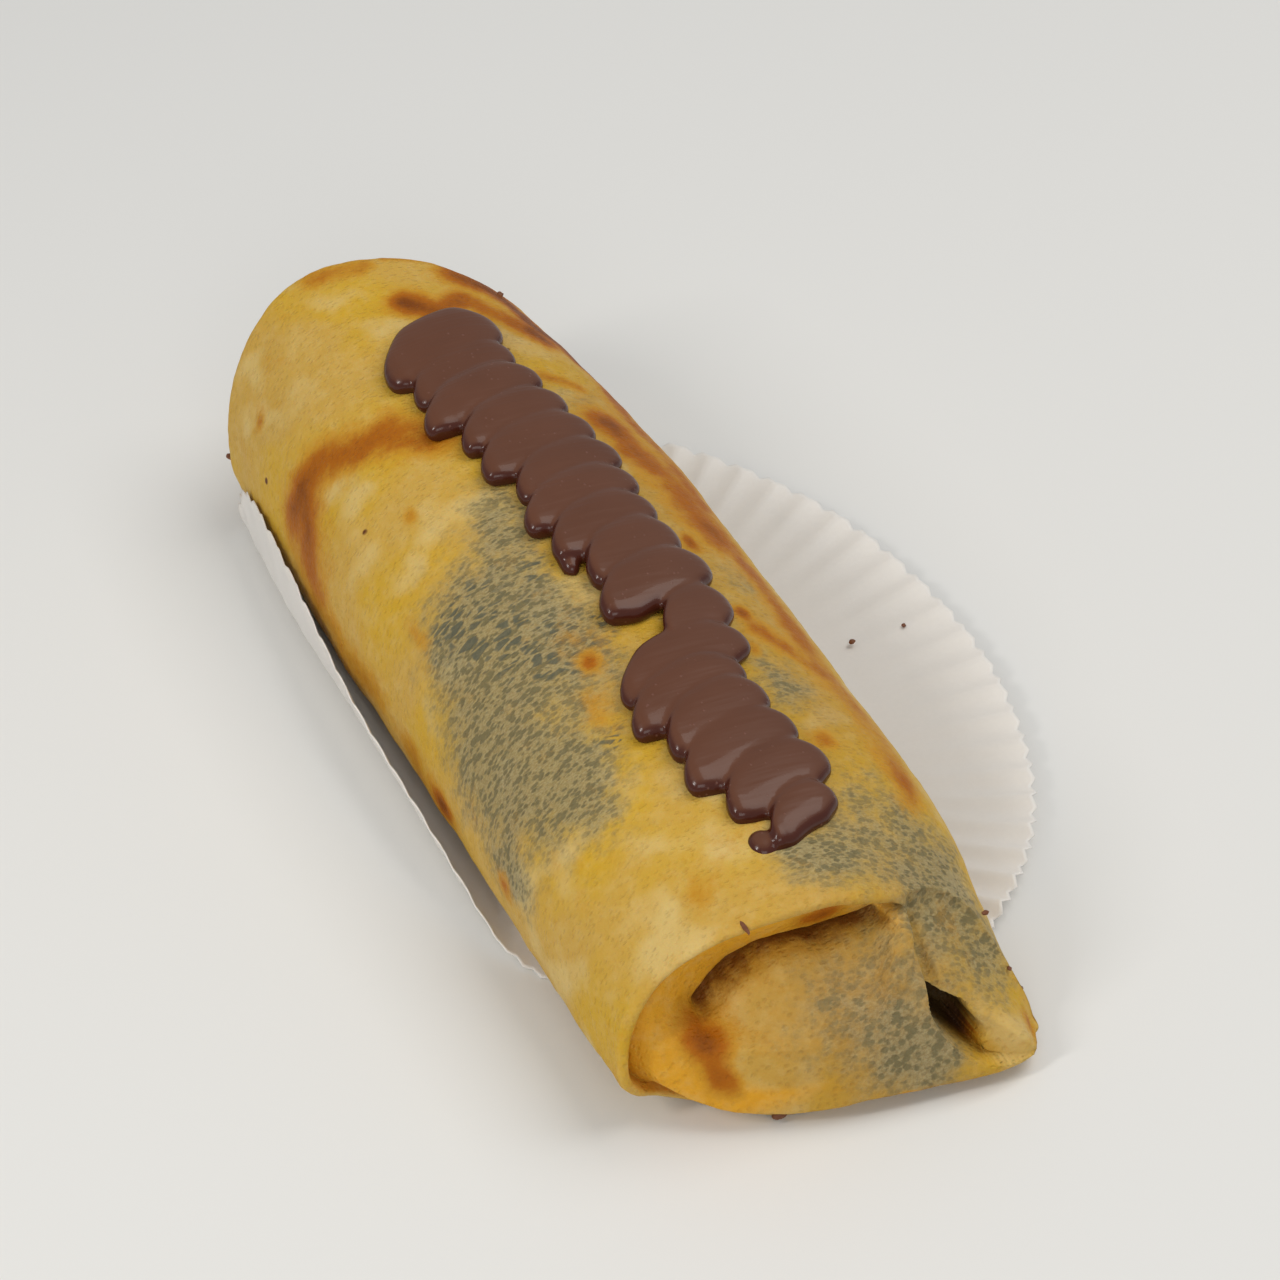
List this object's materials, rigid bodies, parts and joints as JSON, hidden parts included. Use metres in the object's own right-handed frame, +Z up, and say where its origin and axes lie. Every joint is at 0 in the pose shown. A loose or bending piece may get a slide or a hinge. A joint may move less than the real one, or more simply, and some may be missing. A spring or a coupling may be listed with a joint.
{
  "type": "folded crepe",
  "caption": "Folded, filled crepe with tucked-in ends and a piped chocolate zigzag on top, lying in an oval pleated paper case.",
  "frame": {"origin": "on the table under the middle of the whole, paper case included", "axes": "+Z up; the roll of the crepe lies along Y, with the open folded-in end at -Y; the free side of the paper case is at +X"},
  "size_m": [0.1034, 0.1824, 0.0453],
  "materials": {
    "crepe": "soft baked batter, pale yellow with browned bands and a grey mottled net where the filling shows through, satin",
    "chocolate": "set milk chocolate, satin on top and glossy at the rounded ends",
    "paper": "thin greaseproof paper, matt, off-white, pleated"
  },
  "bodies": {
    "root": {"crepe": "crepe", "chocolate": "chocolate", "paper_case": "paper"}
  },
  "joints": []
}
